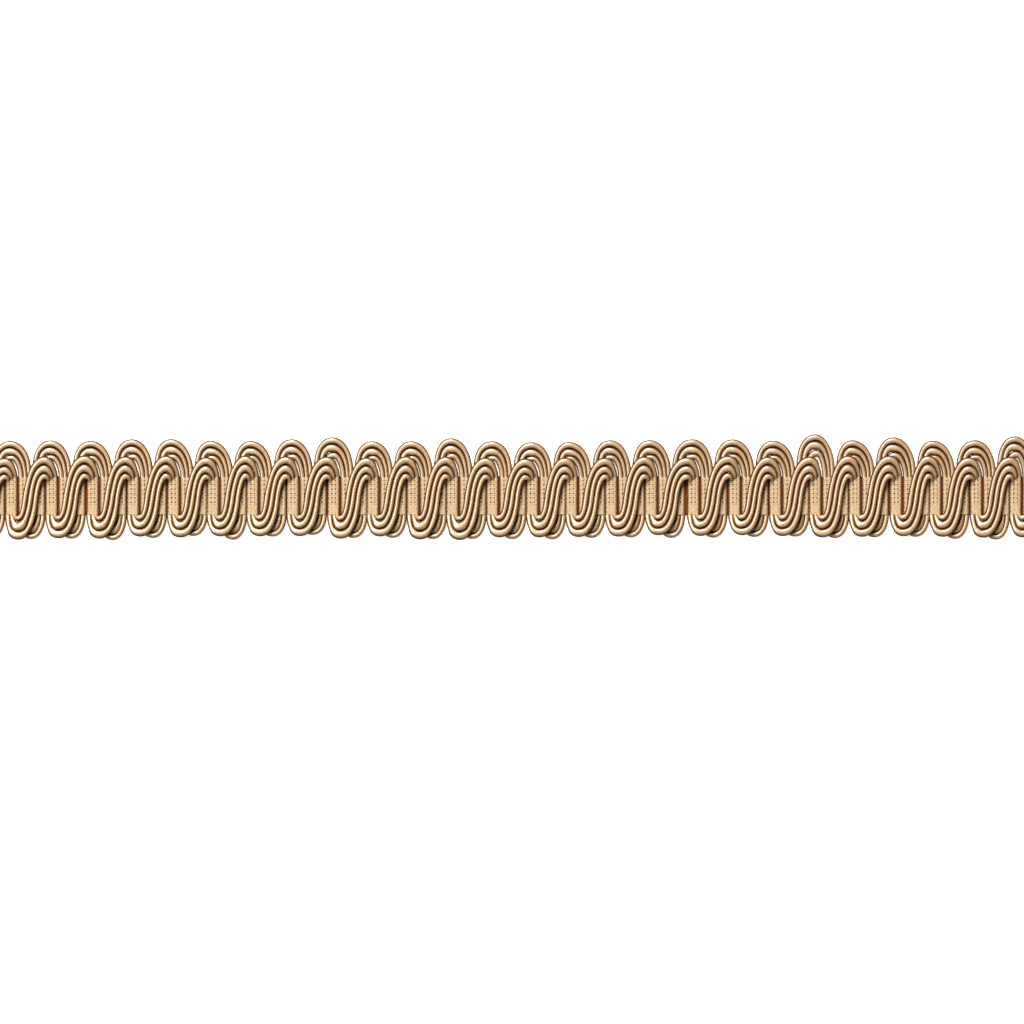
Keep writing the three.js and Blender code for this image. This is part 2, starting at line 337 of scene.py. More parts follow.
        # The yarn climbs one turn for each turn round the cord.
        turns = add_node(
            tree,
            "ShaderNodeMath",
            {"operation": "MULTIPLY_ADD", 1: 1 / self.turn_pitch},
            {0: along, 2: around},
        ).outputs[0]
        phase = add_node(tree, "ShaderNodeMath", {"operation": "FRACT"}, {0: turns})
        swell = add_node(
            tree, "ShaderNodeMath", {"operation": "MULTIPLY", 1: math.pi}, {0: phase.outputs[0]}
        )
        ridge = add_node(
            tree, "ShaderNodeMath", {"operation": "SINE"}, {0: swell.outputs[0]}
        ).outputs[0]

        # Painted shade: the flanks, free outer ones too, are coloured dark brown to stand for shade
        # between cords.
        flank = self.flank_shade_mask(tree, around)
        colour_with_painted_shade = add_node(
            tree,
            "ShaderNodeMix",
            {"data_type": "RGBA", 6: linear(self.crown), 7: linear(self.flank)},
            {0: flank},
        )
        colour = add_node(
            tree,
            "ShaderNodeVectorMath",
            {"operation": "SCALE"},
            {0: colour_with_painted_shade.outputs[2], 3: self.shade(tree, along, turns, ridge)},
        )
        # The gloss follows the same mask: full on the crowns, none on the flanks under the painted
        # shade.
        silk = add_node(tree, "ShaderNodeMath", {"operation": "SUBTRACT", 0: 1.0}, {1: flank})
        # The yarn's turns lie across the cord, so its gloss runs out along the cord.
        lay = add_node(
            tree, "ShaderNodeTangent", {"direction_type": "UV_MAP", "uv_map": ALONG_UV}
        )
        shader = add_node(
            tree,
            "ShaderNodeBsdfPrincipled",
            {
                "Roughness": self.roughness,
                "IOR": self.fibre_index,
                "Specular IOR Level": self.specular,
                "Anisotropic": self.anisotropic,
                "Coat Roughness": self.gloss_roughness,
                "Coat IOR": self.gloss_index,
            },
            {
                "Base Color": colour.outputs[0],
                "Normal": self.relief(tree, turns, ridge),
                "Tangent": lay.outputs[0],
                "Coat Weight": silk.outputs[0],
            },
        )
        finish_material(tree, shader)
        return material


@dataclass(frozen=True)
class SpunThread:
    """Fine spun viscose laid flat: dull and even, a faint twist, a tone for each thread, painted shade
    in hollows.
    """

    name: str = "viscose_thread_spun"
    body: str = "#D2BC9C"
    # valley_shade is painted shade: the brown the threads take low between the columns, standing for
    # shade.
    valley_shade: str = "#803C0C"
    middle_level: float = 0.48
    full_shade_rise: float = 0.28
    crown_rise: float = 0.43
    twist_pitch: float = 0.3
    twist_height: float = 0.01
    twist_strength: float = 0.6
    # Painted shade: darker between the ridges of the twist, lighter on them.
    twist_shade_tones: tuple[float, float] = (0.9, 1.02)
    drift_length: float = 1 / 1.3
    drift_tones: tuple[float, float] = (0.9, 1.05)
    roughness: float = 0.7
    fibre_index: float = 1.5
    specular: float = 0.1

    def valley_shade_mask(self, tree: bpy.types.NodeTree) -> bpy.types.NodeSocket:
        """Tells the threads on the columns from those that lie deep between them, where painted shade
        is laid.

        Args:
            tree: the material's node tree.

        Returns:
            0 deep between the columns, in full painted shade; 1 on a column or right under it.
        """
        where = add_node(tree, "ShaderNodeTexCoord")
        spot = add_node(tree, "ShaderNodeSeparateXYZ", links={0: where.outputs["Object"]})
        rise = add_node(
            tree,
            "ShaderNodeMath",
            {"operation": "SUBTRACT", 1: self.middle_level * METRES},
            {0: spot.outputs[2]},
        )
        size = add_node(tree, "ShaderNodeMath", {"operation": "ABSOLUTE"}, {0: rise.outputs[0]})
        # Painted shade: full below full_shade_rise, none above crown_rise.
        unshaded = add_node(
            tree,
            "ShaderNodeMapRange",
            {
                "interpolation_type": "SMOOTHSTEP",
                1: self.full_shade_rise * METRES,
                2: self.crown_rise * METRES,
                3: 0.0,
                4: 1.0,
            },
            {0: size.outputs[0]},
        )
        return unshaded.outputs[0]

    def shade(
        self,
        tree: bpy.types.NodeTree,
        along: bpy.types.NodeSocket,
        ridge: bpy.types.NodeSocket,
    ) -> bpy.types.NodeSocket:
        """Makes the tone drift along a thread, with painted shade between the ridges of its twist.

        Args:
            tree: the material's node tree.
            along: the place along the thread.
            ridge: how high a place is on the twist, from -1 to 1.

        Returns:
            A factor for the colour.
        """
        drift = drifting_tone(tree, along, self.drift_length, self.drift_tones)
        dark, light = self.twist_shade_tones
        # Painted shade between the ridges of the twist.
        groove_shade = add_node(
            tree, "ShaderNodeMapRange", {1: -1.0, 2: 1.0, 3: dark, 4: light}, {0: ridge}
        )
        twisted = add_node(
            tree,
            "ShaderNodeMath",
            {"operation": "MULTIPLY"},
            {0: drift, 1: groove_shade.outputs[0]},
        )
        return twisted.outputs[0]

    def build(self) -> bpy.types.Material:
        """Builds the finish.

        Returns:
            The material.
        """
        material, tree = new_material(self.name)
        place = add_node(tree, "ShaderNodeUVMap", {"uv_map": ALONG_UV})
        parts = add_node(tree, "ShaderNodeSeparateXYZ", links={0: place.outputs[0]})
        turns = add_node(
            tree,
            "ShaderNodeMath",
            {"operation": "MULTIPLY_ADD", 1: 1 / self.twist_pitch},
            {0: parts.outputs[0], 2: parts.outputs[1]},
        )
        swell = add_node(
            tree, "ShaderNodeMath", {"operation": "MULTIPLY", 1: 2 * math.pi}, {0: turns.outputs[0]}
        )
        ridge = add_node(tree, "ShaderNodeMath", {"operation": "SINE"}, {0: swell.outputs[0]})
        # Painted shade: threads low in the valleys between columns take the dark brown valley_shade
        # colour.
        colour_with_painted_shade = add_node(
            tree,
            "ShaderNodeMix",
            {"data_type": "RGBA", 6: linear(self.valley_shade), 7: linear(self.body)},
            {0: self.valley_shade_mask(tree)},
        )
        colour = add_node(
            tree,
            "ShaderNodeVectorMath",
            {"operation": "SCALE"},
            {0: colour_with_painted_shade.outputs[2], 3: self.shade(tree, parts.outputs[0], ridge.outputs[0])},
        )
        bump = add_node(
            tree,
            "ShaderNodeBump",
            {"Strength": self.twist_strength, "Distance": self.twist_height * METRES},
            {"Height": ridge.outputs[0]},
        )
        shader = add_node(
            tree,
            "ShaderNodeBsdfPrincipled",
            {
                "Roughness": self.roughness,
                "IOR": self.fibre_index,
                "Specular IOR Level": self.specular,
            },
            {"Base Color": colour.outputs[0], "Normal": bump.outputs[0]},
        )
        finish_material(tree, shader)
        return material


@dataclass(frozen=True)
class CottonCore:
    """Bleached cotton core, cut across: chalky, with the ends of its fibres as fine specks."""

    name: str = "cotton_core_cut"
    body: str = "#EFE3CB"
    between: str = "#B89A6C"
    speck_pitch: float = 0.08
    roughness: float = 0.9
    fibre_index: float = 1.5
    specular: float = 0.2

    def build(self) -> bpy.types.Material:
        """Builds the finish.

        Returns:
            The material.
        """
        material, tree = new_material(self.name)
        place = add_node(tree, "ShaderNodeTexCoord")
        specks = add_node(
            tree,
            "ShaderNodeTexVoronoi",
            {"Scale": 1 / (self.speck_pitch * METRES)},
            {"Vector": place.outputs["Object"]},
        )
        colour = add_node(
            tree,
            "ShaderNodeMix",
            {"data_type": "RGBA", 6: linear(self.body), 7: linear(self.between)},
            {0: specks.outputs["Distance"]},
        )
        shader = add_node(
            tree,
            "ShaderNodeBsdfPrincipled",
            {
                "Roughness": self.roughness,
                "IOR": self.fibre_index,
                "Specular IOR Level": self.specular,
            },
            {"Base Color": colour.outputs[2]},
        )
        finish_material(tree, shader)
        return material


@dataclass(frozen=True)
class StudioBoard:
    """White acrylic light table: matt and even, lit from within so that shadows stay faint."""

    name: str = "acrylic_light_table_matt"
    body: str = "#FAFAFA"
    glow: float = 0.8
    roughness: float = 0.9
    specular: float = 0.1

    def build(self) -> bpy.types.Material:
        """Builds the finish.

        Returns:
            The material.
        """
        material, tree = new_material(self.name)
        shader = add_node(
            tree,
            "ShaderNodeBsdfPrincipled",
            {
                "Base Color": linear(self.body),
                "Roughness": self.roughness,
                "Specular IOR Level": self.specular,
                "Emission Color": linear(self.body),
                "Emission Strength": self.glow,
            },
        )
        finish_material(tree, shader)
        return material


class Ease(Enum):
    """How a size goes over from one stop of a cord to the next."""

    EVEN = 1.0
    LATE = 3.0
    IN = 2.0
    OUT = -2.0

    def at(self, t: np.ndarray) -> np.ndarray:
        """The share of the change that is done at each place.

        Args:
            t: places from 0 to 1.

        Returns:
            Shares from 0 to 1.
        """
        power = abs(self.value)
        return t**power if self.value > 0 else 1 - (1 - t) ** power


class Heading(Enum):
    """Directions of travel in plan, in degrees from the braid's own direction."""

    RIGHT = 0.0
    UP = 90.0
    DOWN = -90.0
    LEG = 81.0


@dataclass(frozen=True)
class Stop:
    """A place that a cord goes through. full says how roundly it leaves and reaches the next."""

    x: float
    y: float
    degrees: float
    level: float
    height: float
    full: tuple[float, float] | None = None
    climb: Ease = Ease.EVEN

    def direction(self) -> np.ndarray:
        """The direction of travel in plan, as a unit vector."""
        angle = math.radians(self.degrees)
        return np.array([math.cos(angle), math.sin(angle)])


@dataclass(frozen=True)
class Loop:
    """How a loop differs from the plain one: its apex moved along or outward, its turn dropped."""

    lean: float
    rise: float
    drop: float


@dataclass(frozen=True)
class Repeat:
    """One repeat of the braid: how far it is moved along, and its back and front loops."""

    shift: float
    back: Loop
    front: Loop


REPEATS = (
    Repeat(0.0, Loop(0.0, 0.0, 0.05), Loop(0.0, 0.0, 0.1)),
    Repeat(0.0, Loop(0.08, 0.0, 0.15), Loop(0.0, -0.2, 0.3)),
    Repeat(0.0, Loop(0.05, 0.1, 0.1), Loop(-0.1, 0.05, 0.1)),
    Repeat(0.15, Loop(-0.1, 0.0, 0.3), Loop(-0.25, 0.15, 0.15)),
    Repeat(0.15, Loop(0.1, 0.25, 0.0), Loop(-0.15, 0.05, -0.15)),
    Repeat(0.18, Loop(-0.1, 0.25, -0.3), Loop(-0.1, 0.15, -0.05)),
    Repeat(0.09, Loop(-0.1, 0.0, 0.2), Loop(-0.1, -0.1, -0.15)),
    Repeat(0.0, Loop(-0.05, 0.0, -0.2), Loop(-0.1, 0.15, -0.2)),
    Repeat(0.0, Loop(0.1, 0.25, -0.45), Loop(-0.05, 0.05, -0.15)),
    Repeat(0.09, Loop(0.1, 0.55, 0.0), Loop(-0.05, 0.0, 0.15)),
    Repeat(-0.06, Loop(0.2, -0.05, 0.0), Loop(0.05, -0.15, -0.15)),
    Repeat(-0.09, Loop(0.05, -0.05, 0.15), Loop(-0.05, 0.05, 0.25)),
    Repeat(-0.18, Loop(0.05, 0.4, 0.15), Loop(-0.05, 0.0, 0.35)),
    Repeat(-0.23, Loop(0.25, -0.05, 0.15), Loop(-0.05, -0.15, -0.05)),
    Repeat(-0.27, Loop(0.15, -0.2, 0.2), Loop(-0.1, -0.3, 0.0)),
    Repeat(-0.42, Loop(-0.15, -0.15, 0.0), Loop(-0.05, -0.15, -0.05)),
    Repeat(-0.51, Loop(0.1, 0.1, -0.1), Loop(0.05, -0.15, -0.1)),
    Repeat(-0.54, Loop(0.1, 0.1, 0.0), Loop(-0.1, 0.0, -0.3)),
    Repeat(-0.24, Loop(0.15, 0.25, -0.05), Loop(0.0, -0.1, -0.2)),
    Repeat(-0.09, Loop(-0.05, 0.25, -0.15), Loop(0.0, 0.15, -0.3)),
    Repeat(0.0, Loop(-0.1, 0.05, -0.2), Loop(-0.2, 0.0, -0.2)),
    Repeat(-0.06, Loop(0.35, 1.0, 0.0), Loop(0.1, 0.0, -0.05)),
    Repeat(-0.15, Loop(-0.1, 0.1, -0.15), Loop(-0.05, 0.15, -0.1)),
    Repeat(0.0, Loop(-0.1, 0.55, -0.2), Loop(-0.1, 0.15, -0.15)),
    Repeat(-0.15, Loop(-0.1, 0.05, 0.15), Loop(-0.15, 0.15, -0.1)),
    Repeat(-0.06, Loop(0.15, 0.1, 0.25), Loop(-0.15, -0.1, 0.0)),
    Repeat(-0.18, Loop(0.2, 0.7, 0.0), Loop(0.05, 0.0, 0.0)),
    Repeat(-0.1, Loop(0.0, 0.0, 0.0), Loop(0.0, 0.0, 0.0)),
)


@dataclass(frozen=True)
class Pattern:
    """The braid's repeats along its length."""

    period: float = 6.027
    first_apex_x: float = -75.3
    repeats: tuple[Repeat, ...] = REPEATS
    column_bottom_y: float = -2.92
    back_column_top_y: float = 3.0
    leg_y: float = 0.075

    def apex_x(self, index: int) -> float:
        """Where a repeat has the apex of its plain back arch.

        Args:
            index: the repeat's number.

        Returns:
            The apex's place along the braid.
        """
        return self.first_apex_x + (index - 1) * self.period + self.repeats[index].shift


class TubeBundle:
    """Tubes that are joined into one mesh, with a map along them and a map to bake on."""

    # How long a strip of tube is on the bake map, and what the strip may overrun.
    STRIP = 42.0
    OVERRUN = 1.4
    STRIP_FILL = 0.92

    def __init__(self, sides: int) -> None:
        """Starts an empty bundle.

        Args:
            sides: how many faces each tube has round it.
        """
        self.sides = sides
        self.points: list[np.ndarray] = []
        self.faces: list[tuple[int, ...]] = []
        self.materials: list[int] = []
        self.along: list[np.ndarray] = []
        self.count = 0
        self.length = 0.0

    def add(self, line: np.ndarray, widths: np.ndarray, heights: np.ndarray) -> None:
        """Adds a tube along a line, its width level and its height square to both.

        Args:
            line: points of the centreline, a row each.
            widths: the tube's width at each point.
            heights: the tube's height at each point.
        """
        tangent = np.gradient(line, axis=0)
        tangent /= np.linalg.norm(tangent, axis=1)[:, None]
        side = np.stack([tangent[:, 1], -tangent[:, 0], np.zeros(len(line))], axis=1)
        side /= np.linalg.norm(side, axis=1)[:, None]
        up = np.cross(side, tangent)
        turn = np.arange(self.sides) * 2 * math.pi / self.sides
        across = side[:, None, :] * (widths / 2)[:, None, None] * np.cos(turn)[None, :, None]
        upward = up[:, None, :] * (heights / 2)[:, None, None] * np.sin(turn)[None, :, None]
        self.points.append((line[:, None, :] + across + upward).reshape(-1, 3))

        steps = np.linalg.norm(np.diff(line, axis=0), axis=1)
        place = self.length + np.concatenate([[0.0], np.cumsum(steps)])
        first = self.count
        for ring in range(len(line) - 1):
            here = first + ring * self.sides
            there = here + self.sides
            for j in range(self.sides):
                k = (j + 1) % self.sides
                self.faces.append((here + j, there + j, there + k, here + k))
                low, high = j / self.sides, (j + 1) / self.sides
                self.along.append(
                    np.array(
                        [
                            [place[ring], low],
                            [place[ring + 1], low],
                            [place[ring + 1], high],
                            [place[ring], high],
                        ]
                    )
                )
                self.materials.append(0)
        last = first + (len(line) - 1) * self.sides
        self.faces.append(tuple(first + j for j in range(self.sides)))
        self.faces.append(tuple(last + j for j in reversed(range(self.sides))))
        for end in (place[0], place[-1]):
            self.along.append(np.array([[end, j / self.sides] for j in range(self.sides)]))
            self.materials.append(1)
        self.count += len(line) * self.sides
        self.length = place[-1]

    def build(self, name: str, *materials: bpy.types.Material) -> bpy.types.Object:
        """Makes the bundle's object.

        Args:
            name: the piece's name.
            materials: the finish of the tubes and that of their cut ends.

        Returns:
            The object, with smooth faces.
        """
        mesh = bpy.data.meshes.new(name)
        mesh.from_pydata((np.concatenate(self.points) * METRES).tolist(), [], self.faces)
        mesh.polygons.foreach_set("use_smooth", [m == 0 for m in self.materials])
        mesh.polygons.foreach_set("material_index", self.materials)
        for material in materials:
            mesh.materials.append(material)
        starts = np.array([uv[:, 0].min() for uv in self.along])
        sizes = [len(uv) for uv in self.along]
        row = np.repeat(np.floor(starts / self.STRIP), sizes)
        along = np.concatenate(self.along)
        rows = math.floor(self.length / self.STRIP) + 1
        baked = np.stack(
            [
                (along[:, 0] - row * self.STRIP) / (self.STRIP + self.OVERRUN),
                (row + self.STRIP_FILL * along[:, 1]) / rows,
            ],
            axis=1,
        )
        for layer_name, places in ((ALONG_UV, along), (BAKE_UV, baked)):
            layer = mesh.uv_layers.new(name=layer_name)
            layer.uv.foreach_set("vector", places.astype(np.float32).ravel())
        piece = bpy.data.objects.new(name, mesh)
        bpy.context.scene.collection.objects.link(piece)
        return piece


def smoothed(values: np.ndarray, step: float, reach: float) -> np.ndarray:
    """Evens out values along a line.

    Args:
        values: one row for each place, evenly spaced.
        step: the spacing of the places.
        reach: how far the evening reaches to each side, as a standard deviation.

    Returns:
        The values, evened.
    """
    half = max(1, int(3 * reach / step))
    offsets = np.arange(-half, half + 1) * step
    weights = np.exp(-(offsets**2) / (2 * reach**2))
    weights /= weights.sum()
    padded = np.pad(values, ((half, half), (0, 0)), mode="reflect", reflect_type="odd")
    return np.stack(
        [np.convolve(padded[:, i], weights, mode="valid") for i in range(values.shape[1])], axis=1
    )


@dataclass(frozen=True)
class CordMaker:
    """Turns the stops of a band's cords into round, evenly bent tubes that press on each other."""

    fine_step: float = 0.05
    level_reach: float = 0.22
    size_reach: float = 0.25
    plan_reach: float = 0.07
    bend_per_ring: float = 0.15
    longest_ring: float = 0.6
    sides: int = 18
    wander: float = 0.015
    wander_length: float = 2.5
    wander_reach: float = 0.625
    touch_search: float = 2.0
    square_on: float = 3.0
    touch_overlap: float = 1.05
    narrowest: float = 0.76

    def bend(self, here: Stop, there: Stop, stage: int) -> np.ndarray:
        """Fine places from one stop to the next.

        Args:
            here: the stop that the cord leaves.
            there: the stop that it reaches.
            stage: the number of the first stop.

        Returns:
            Rows of x, y, level, height and stage, without the last place.
        """
        start, end = np.array([here.x, here.y]), np.array([there.x, there.y])
        count = max(4, int(np.linalg.norm(end - start) / self.fine_step))
        t = np.arange(count) / count
        if here.full is None:
            plan = start + t[:, None] * (end - start)
        else:
            leave, arrive = here.direction(), there.direction()
            gap = end - start
            reach = (gap[0] * arrive[1] - gap[1] * arrive[0]) / (
                leave[0] * arrive[1] - leave[1] * arrive[0]
            )
            meet = start + leave * reach
            first = start + (meet - start) * here.full[0]
            second = end + (meet - end) * here.full[1]
            s = t[:, None]
            plan = (
                (1 - s) ** 3 * start
                + 3 * (1 - s) ** 2 * s * first
                + 3 * (1 - s) * s**2 * second
                + s**3 * end
            )
        level = here.level + here.climb.at(t) * (there.level - here.level)
        height = here.height + t * (there.height - here.height)
        return np.column_stack([plan, level, height, stage + t])

    def route(self, stops: list[Stop], seed: int) -> np.ndarray:
        """The cord's way in even, short steps.

        Args:
            stops: the places that the cord goes through.
            seed: fixes how the cord wanders.

        Returns:
            Rows of x, y, level, height and stage.
        """
        rough = np.concatenate(
            [self.bend(stops[i], stops[i + 1], i) for i in range(len(stops) - 1)]
        )
        steps = np.linalg.norm(np.diff(rough[:, :3], axis=0), axis=1)
        run = np.concatenate([[0], np.cumsum(steps)])
        even = np.arange(0, run[-1], self.fine_step)
        fine = np.column_stack([np.interp(even, run, rough[:, i]) for i in range(5)])
        fine[:, :2] = smoothed(fine[:, :2], self.fine_step, self.plan_reach)
        fine[:, 2:3] = smoothed(fine[:, 2:3], self.fine_step, self.level_reach)
        fine[:, 3:4] = smoothed(fine[:, 3:4], self.fine_step, self.size_reach)

        rng = np.random.default_rng(seed)
        knots = np.arange(0, even[-1] + self.wander_length, self.wander_length)
        for column in (0, 1):
            drift = np.interp(even, knots, rng.normal(0, self.wander, len(knots)))
            fine[:, column] += smoothed(drift[:, None], self.fine_step, self.wander_reach)[:, 0]
        return fine

    def across(self, route: np.ndarray, beside: np.ndarray) -> tuple[np.ndarray, np.ndarray]:
        """Which place of its neighbour lies square across from each place of a cord, in plan.

        Args:
            route: the cord's way.
            beside: the neighbour's way.

        Returns:
            The distance at each place of the cord, and the neighbour's place.
        """
        tangent = np.gradient(route[:, :2], axis=0)
        tangent /= np.linalg.norm(tangent, axis=1)[:, None]
        near = np.searchsorted(beside[:, 4], route[:, 4])
        reach = int(self.touch_search / self.fine_step)
        tries = near[:, None] + np.arange(-reach, reach + 1)[None, :]
        tries = np.clip(tries, 0, len(beside) - 1)
        offset = beside[tries, :2] - route[:, None, :2]
        away = np.linalg.norm(offset, axis=2)
        along = np.abs((offset * tangent[:, None, :]).sum(axis=2))
        best = (away + self.square_on * along).argmin(axis=1)
        rows = np.arange(len(route))
        return away[rows, best], tries[rows, best]

    def widths(self, routes: list[np.ndarray], widest: float) -> list[np.ndarray]:
        """How wide the cords are pressed, so that each touches the next in its band.

        Args:
            routes: the ways of the outer, middle and inner cord.
            widest: the most that the outer and inner cord spread.

        Returns:
            The width at each place of each cord.
        """
        outer, middle, inner = routes
        to_outer, _ = self.across(middle, outer)
        to_inner, _ = self.across(middle, inner)
        half = np.maximum((to_outer + to_inner) / 4, to_outer - widest / 2)
        found = [half * 2]
        for place, route in ((0, outer), (2, inner)):
            away, beside = self.across(route, middle)
            width = np.clip(2 * (away - half[beside]), self.narrowest, widest)
            found.insert(place, width)
        return [
            smoothed(width[:, None] * self.touch_overlap, self.fine_step, self.size_reach)[:, 0]
            for width in found
        ]

    def tube(self, route: np.ndarray, widths: np.ndarray) -> TubeBundle:
        """A cord as a tube, its rings close together in bends and far apart in straight runs.

        Args:
            route: the cord's way.
            widths: its width at each place.

        Returns:
            A bundle of one tube.
        """
        tangent = np.gradient(route[:, :3], axis=0)
        tangent /= np.linalg.norm(tangent, axis=1)[:, None]
        bent = np.linalg.norm(np.diff(tangent, axis=0), axis=1)
        need = bent / self.bend_per_ring + self.fine_step / self.longest_ring
        need = np.concatenate([[0], np.cumsum(need)])
        rings = np.linspace(0, need[-1], math.ceil(need[-1]) + 1)
        line = np.column_stack([np.interp(rings, need, route[:, i]) for i in range(3)])
        bundle = TubeBundle(self.sides)
        bundle.add(
            line, np.interp(rings, need, widths), np.interp(rings, need, route[:, 3])
        )
        return bundle

    def band(self, ways: list[list[Stop]], widest: float, seed: int) -> list[TubeBundle]:
        """The three cords of a band.

        Args:
            ways: the stops of the outer, middle and inner cord.
            widest: the most that the outer and inner cord spread.
            seed: fixes how the cords wander.

        Returns:
            A bundle of one tube for each cord.
        """
        routes = [self.route(stops, seed + i) for i, stops in enumerate(ways)]
        return [self.tube(*pair) for pair in zip(routes, self.widths(routes, widest))]


@dataclass(frozen=True)
class FrontCord:
    """A cord of the front band. Places are measured from the apex of the repeat's back arch."""

    letter: str
    column_x: float
    column_top: float
    turn_x: float
    turn_y: float
    turn_level: float
    leg_x: float
    arch_x: float
    arch_y: float
    turn_full: tuple[float, float]
    climb_full: tuple[float, float]
    rise_full: tuple[float, float]
    dive_full: tuple[float, float]
    rise_share: float
    drop_share: float


@dataclass(frozen=True)
class BackCord:
    """A cord of the back band. It goes down at down_x and comes up at up_x."""

    letter: str
    arch_x: float
    arch_y: float
    down_x: float
    turn_x: float
    turn_y: float
    up_x: float
    rise_full: tuple[float, float]
    fall_full: tuple[float, float]
    turn_full: tuple[float, float]
    climb_full: tuple[float, float]
    rise_share: float
    drop_share: float


FRONT_CORDS = (
    FrontCord(
        letter="a",
        column_x=0.82,
        column_top=2.7,
        turn_x=1.245,
        turn_y=-3.32,
        turn_level=1.36,
        leg_x=2.475,
        arch_x=5.4,
        arch_y=5.205,
        turn_full=(0.6, 0.6),
        climb_full=(1.3, 0.36),
        rise_full=(0.44, 0.9),
        dive_full=(0.52, 0.5),
        rise_share=1.0,
        drop_share=0.3,
    ),
    FrontCord(
        letter="b",
        column_x=0.285,
        column_top=2.55,
        turn_x=1.2,
        turn_y=-4.5,
        turn_level=1.3,
        leg_x=3.27,
        arch_x=5.31,
        arch_y=3.945,
        turn_full=(0.2, 0.62),
        climb_full=(1.18, 0.22),
        rise_full=(0.24, 1.04),
        dive_full=(0.72, 0.2),
        rise_share=0.7,
        drop_share=0.6,
    ),
    FrontCord(
        letter="c",
        column_x=-0.3,
        column_top=2.4,
        turn_x=1.29,
        turn_y=-5.7,
        turn_level=1.25,
        leg_x=4.04,
        arch_x=5.4,
        arch_y=2.82,
        turn_full=(0.34, 0.84),
        climb_full=(1.27, 0.2),
        rise_full=(0.93, 0.4),
        dive_full=(0.7, 0.4),
        rise_share=0.4,
        drop_share=1.0,
    ),
)

BACK_CORDS = (
    BackCord(
        letter="a",
        arch_x=0.06,
        arch_y=7.69,
        down_x=2.88,
        turn_x=3.225,
        turn_y=-3.82,
        up_x=3.8,
        rise_full=(0.2, 1.14),
        fall_full=(0.24, 0.86),
        turn_full=(0.6, 0.6),
        climb_full=(0.65, 0.45),
        rise_share=1.0,
        drop_share=0.3,
    ),
    BackCord(
        letter="b",
        arch_x=0.1,
        arch_y=6.56,
        down_x=2.29,
        turn_x=3.225,
        turn_y=-4.97,
        up_x=4.37,
        rise_full=(1.14, 0.22),
        fall_full=(0.86, 0.2),
        turn_full=(0.6, 0.62),
        climb_full=(0.72, 0.28),
        rise_share=0.95,
        drop_share=0.6,
    ),
    BackCord(
        letter="c",
        arch_x=0.22,
        arch_y=5.62,
        down_x=1.69,
        turn_x=3.21,
        turn_y=-5.97,
        up_x=4.98,
        rise_full=(1.0, 0.25),
        fall_full=(0.7, 0.22),
        turn_full=(0.62, 0.74),
        climb_full=(0.7, 0.42),
        rise_share=0.7,
        drop_share=1.0,
    ),
)


@dataclass(frozen=True)
class Band(ABC):
    """Three cords that run side by side from end to end of the braid."""

    pattern: Pattern
    maker: CordMaker
    side: str = ""
    cords: tuple[FrontCord, ...] | tuple[BackCord, ...] = ()
    widest: float = 1.0
    seed: int = 0
    column_level: float = 0.48
    column_height: float = 0.68

    @abstractmethod
    def stops(self, cord: FrontCord | BackCord) -> list[Stop]:
        """The places that one cord goes through, from end to end.

        Args:
            cord: the cord's own sizes.

        Returns:
            The stops in order.
        """

    def build(self, *finishes: bpy.types.Material) -> list[bpy.types.Object]:
        """Builds and dresses the band's cords.

        Args:
            finishes: the finish of the wrap and that of a cut end.

        Returns:
            One piece for each cord.
        """
        pieces = []
        ways = [self.stops(cord) for cord in self.cords]
        bundles = self.maker.band(ways, self.widest, self.seed)
        for cord, bundle in zip(self.cords, bundles):
            piece = bundle.build(f"wrapped_{self.side}_cord_{cord.letter}", *finishes)
            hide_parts(f"{self.side}_cord_{cord.letter}")
            pieces.append(piece)
        return pieces


@dataclass(frozen=True)
class FrontBand(Band):
    """The three cords that leave the ground below, lean over its face and arch back into it."""

    side: str = "front"
    cords: tuple[FrontCord, ...] = FRONT_CORDS
    widest: float = 1.2
    seed: int = 0
    leg_level: float = 1.42
    leg_height: float = 0.86
    arch_level: float = 1.34
    arch_height: float = 0.94

    def stops(self, cord: FrontCord) -> list[Stop]:
        """The places that one cord goes through, from the first column to the last.

        Args:
            cord: the cord's own sizes.

        Returns:
            The stops in order.
        """
        pattern = self.pattern
        column = (self.column_level, self.column_height)
        leg = (self.leg_level, self.leg_height)
        arch = (self.arch_level, self.arch_height)
        down, right = Heading.DOWN.value, Heading.RIGHT.value
        stops = []
        for index, row in enumerate(pattern.repeats):
            x = pattern.apex_x(index)
            column_x = x + cord.column_x
            bottom = pattern.column_bottom_y
            stops.append(Stop(column_x, cord.column_top, down, *column))
            stops.append(Stop(column_x, bottom, down, *column, cord.turn_full, Ease.OUT))
            if index == len(pattern.repeats) - 1:
                break
            turn_x, turn_y = x + cord.turn_x, cord.turn_y - row.front.drop * cord.drop_share
            turn = (cord.turn_level, self.arch_height)
            stops.append(Stop(turn_x, turn_y, right, *turn, cord.climb_full, Ease.OUT))
            leg_x = x + cord.leg_x
            stops.append(Stop(leg_x, pattern.leg_y, Heading.LEG.value, *leg, cord.rise_full))
            after = pattern.repeats[index + 1].front
            arch_x = pattern.apex_x(index + 1) - pattern.period + cord.arch_x + after.lean
            arch_y = cord.arch_y + after.rise * cord.rise_share
            stops.append(Stop(arch_x, arch_y, right, *arch, cord.dive_full, Ease.LATE))
        return stops


